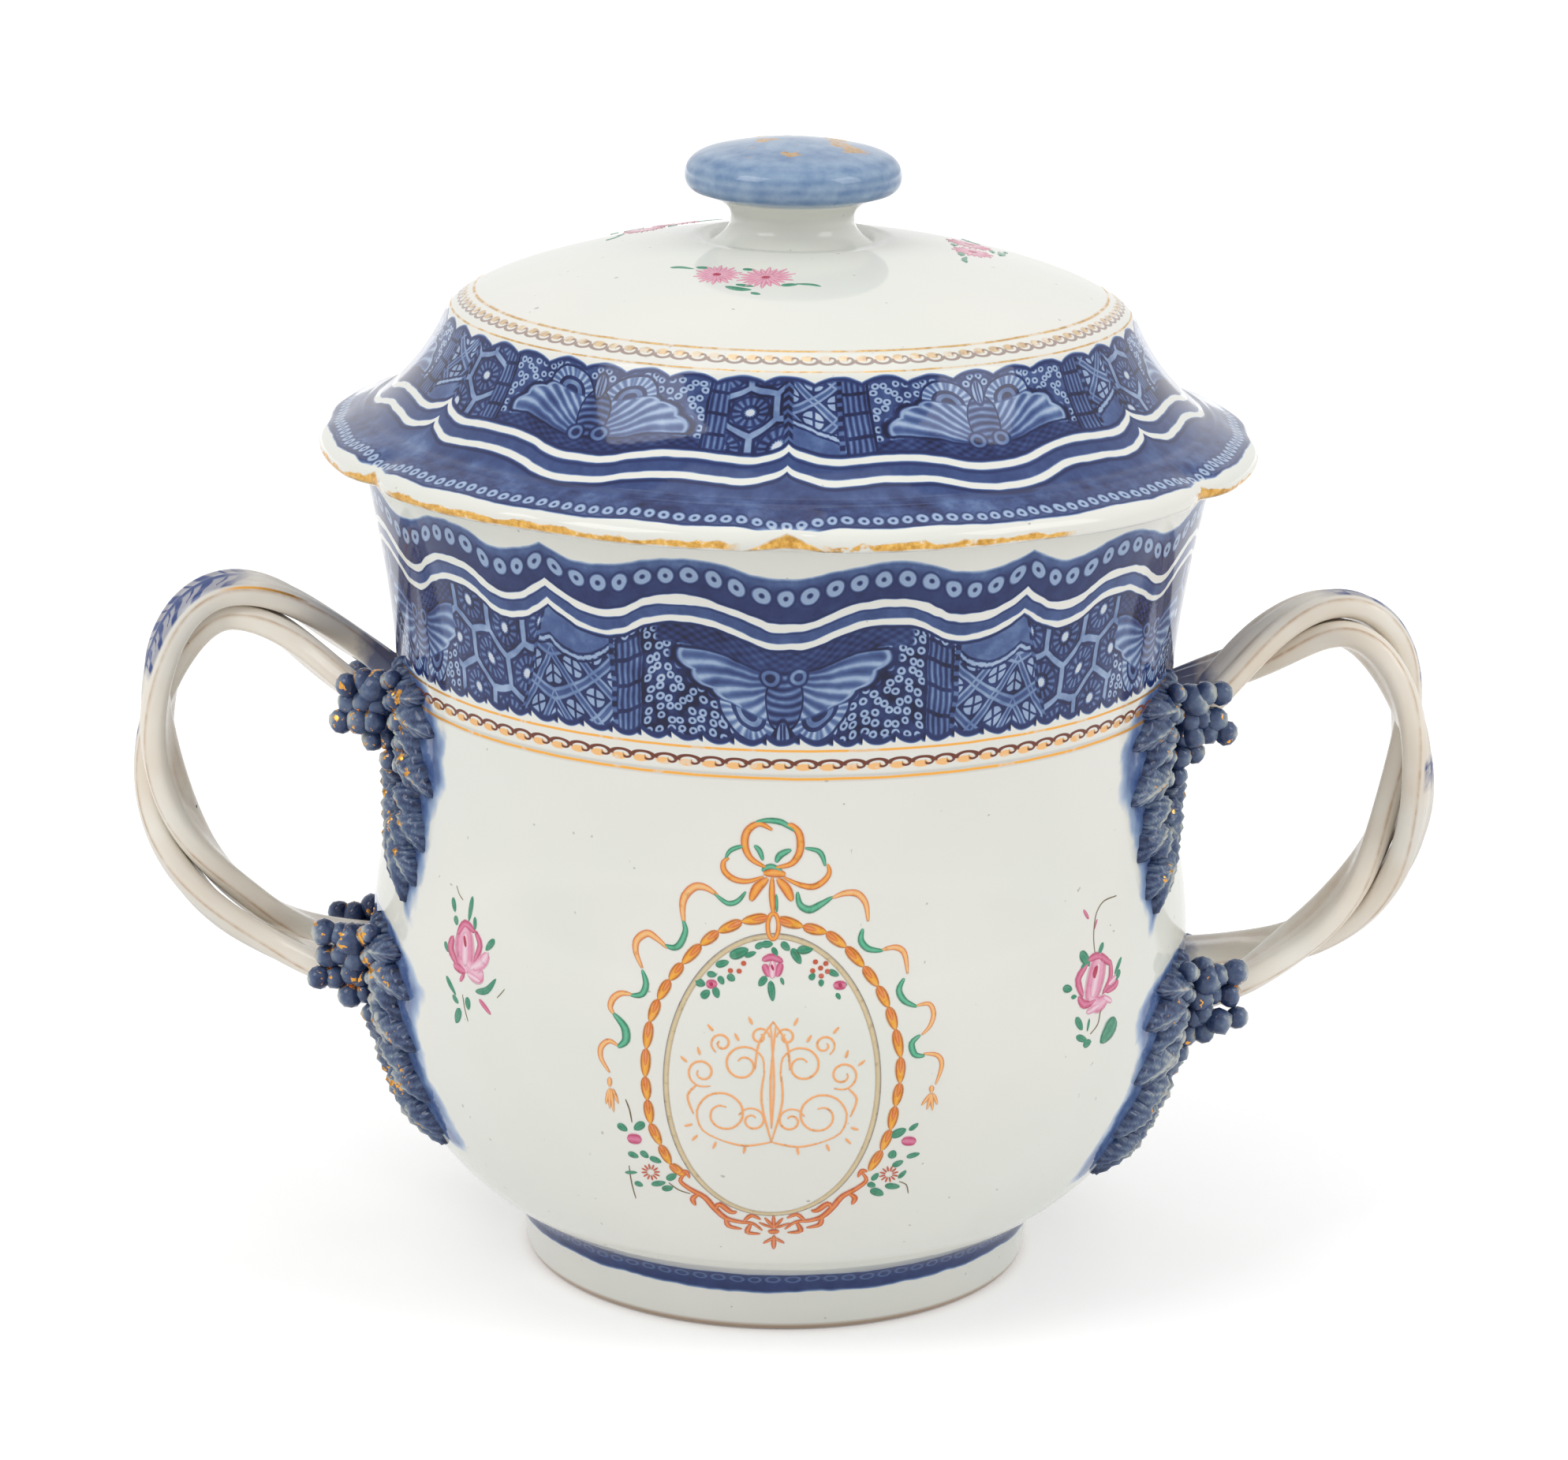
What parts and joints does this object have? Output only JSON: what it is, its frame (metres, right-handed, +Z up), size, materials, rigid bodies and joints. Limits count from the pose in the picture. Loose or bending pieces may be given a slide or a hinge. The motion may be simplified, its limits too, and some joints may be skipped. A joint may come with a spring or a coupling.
{
  "type": "covered cup",
  "caption": "Porcelain cup on a foot ring with entwined strap handles, relief sprigs and a loose domed, lobed cover with a mushroom knob.",
  "frame": {"origin": "on the table at the middle of the foot ring", "axes": "+X out through one handle, -Y towards the medallion in front, +Z up"},
  "size_m": [0.161, 0.1128, 0.14],
  "materials": {
    "cup_porcelain": "glossy off-white porcelain glaze with underglaze blue border, enamels and gilding",
    "cover_porcelain": "glossy off-white porcelain glaze with underglaze blue border, enamels and gilding"
  },
  "bodies": {
    "root": {"cup": "cup_porcelain", "cover": "cover_porcelain"}
  },
  "joints": []
}
